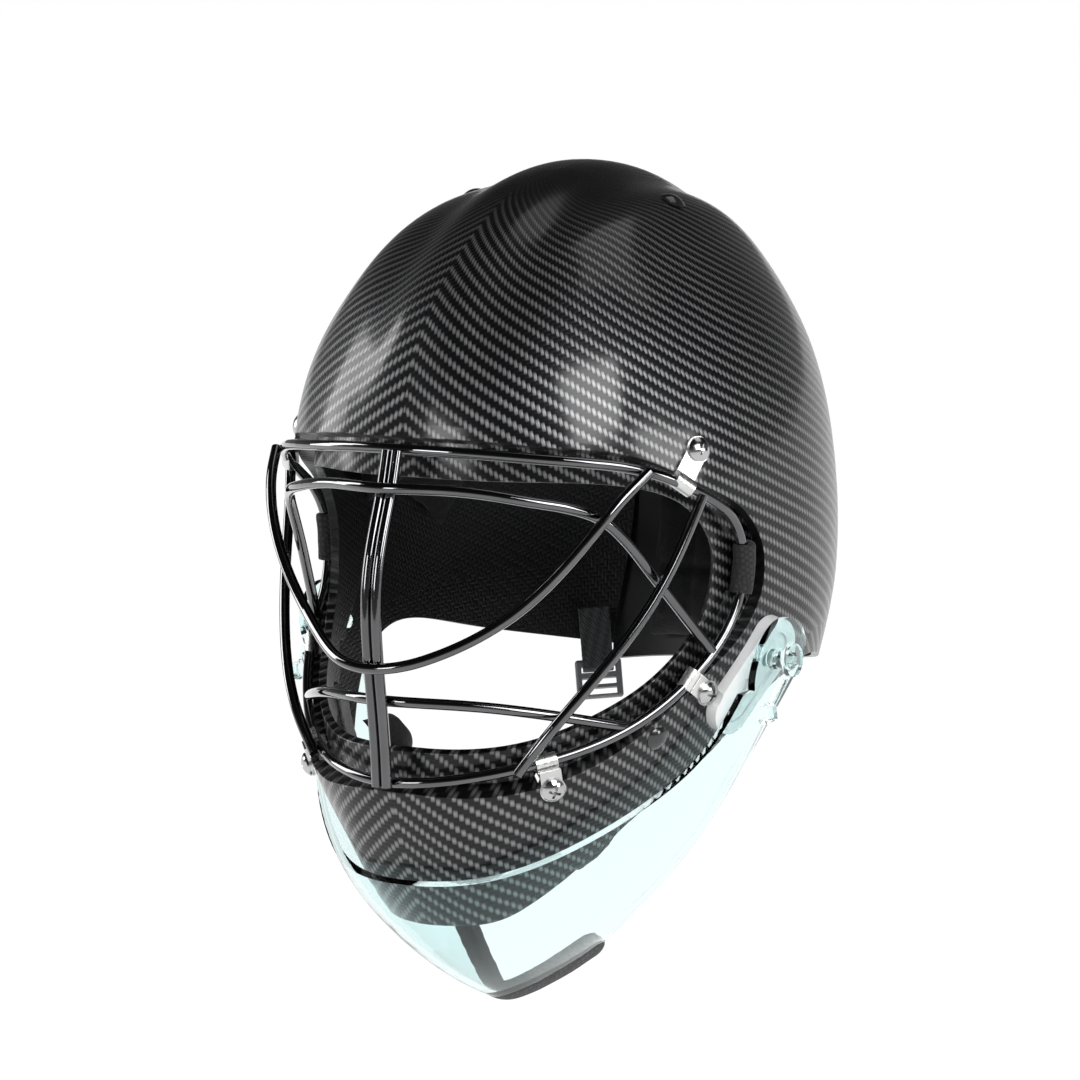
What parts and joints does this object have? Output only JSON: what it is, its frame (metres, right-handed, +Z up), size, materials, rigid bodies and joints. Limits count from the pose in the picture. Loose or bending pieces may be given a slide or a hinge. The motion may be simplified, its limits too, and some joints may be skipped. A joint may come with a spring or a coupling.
{
  "type": "field goalkeeper helmet with throat guard",
  "caption": "Full-shell goalkeeper helmet with a welded wire face cage in a recessed flange, foam padding, and a clear throat guard that swings on ear pivots.",
  "frame": {"origin": "centre of the head space between the ears, on the mid-plane", "axes": "+Z up to the crown, -Y out through the face opening, +X to the wearer's left"},
  "size_m": [0.2356, 0.2809, 0.3271],
  "materials": {
    "carbon_shell": "clear-coated carbon twill",
    "cage_steel": "dark polished",
    "clip_steel": "satin",
    "screw_steel": "polished",
    "black_stud": "semi gloss",
    "foam": "matt lining over foam",
    "sleeve_foam": "matt brushed",
    "plate_plastic": "satin",
    "grey_plastic": "satin",
    "clear_sheet": "clear polished",
    "edging": "matt",
    "clear_moulding": "clear polished",
    "webbing": "woven",
    "cup": "matt",
    "buckle_plastic": "satin"
  },
  "bodies": {
    "helmet": {"back_pad": "foam", "back_plate": "plate_plastic", "back_plate_screws": "screw_steel", "buckle_left": "buckle_plastic", "buckle_right": "buckle_plastic", "buckle_tab_left": "webbing", "buckle_tab_right": "webbing", "cage_brow_bar": "cage_steel", "cage_centre_bars": "cage_steel", "cage_eye_arc": "cage_steel", "cage_lower_bar": "cage_steel", "cage_rim_wire": "cage_steel", "cage_side_bar_left": "cage_steel", "cage_side_bar_right": "cage_steel", "clip_cheek_left": "clip_steel", "clip_cheek_right": "clip_steel", "clip_chin_left": "clip_steel", "clip_chin_right": "clip_steel", "clip_nuts": "clip_steel", "clip_screws": "screw_steel", "clip_temple_left": "clip_steel", "clip_temple_right": "clip_steel", "crown_pad": "foam", "crown_studs": "black_stud", "forehead_pad": "foam", "guard_peg_left": "clear_moulding", "guard_peg_right": "clear_moulding", "jaw_pad_left": "foam", "jaw_pad_right": "foam", "jaw_studs": "black_stud", "mount_plate_left": "grey_plastic", "mount_plate_right": "grey_plastic", "rear_pad": "foam", "shell": "carbon_shell", "side_pad_left": "foam", "side_pad_right": "foam", "sleeve_left": "sleeve_foam", "sleeve_right": "sleeve_foam", "stud_washers": "clip_steel", "temple_pad_left": "foam", "temple_pad_right": "foam"},
    "throat_guard": {"guard_edging": "edging", "guard_latch_left": "clear_moulding", "guard_latch_right": "clear_moulding", "throat_guard": "clear_sheet"},
    "chin_harness": {"chin_cup": "cup", "chin_strap_left": "webbing", "chin_strap_right": "webbing"}
  },
  "joints": [
    {"name": "throat_guard_swing", "type": "hinge", "parent": "helmet", "child": "throat_guard", "pos_m": [0, -0.02, -0.031], "axis": [-1, 0, 0], "range_deg": [-5, 13]},
    {"name": "chin_cup_swing", "type": "hinge", "parent": "helmet", "child": "chin_harness", "pos_m": [0, -0.0705, -0.052], "axis": [1, 0, 0], "range_deg": [-12, 12]}
  ]
}
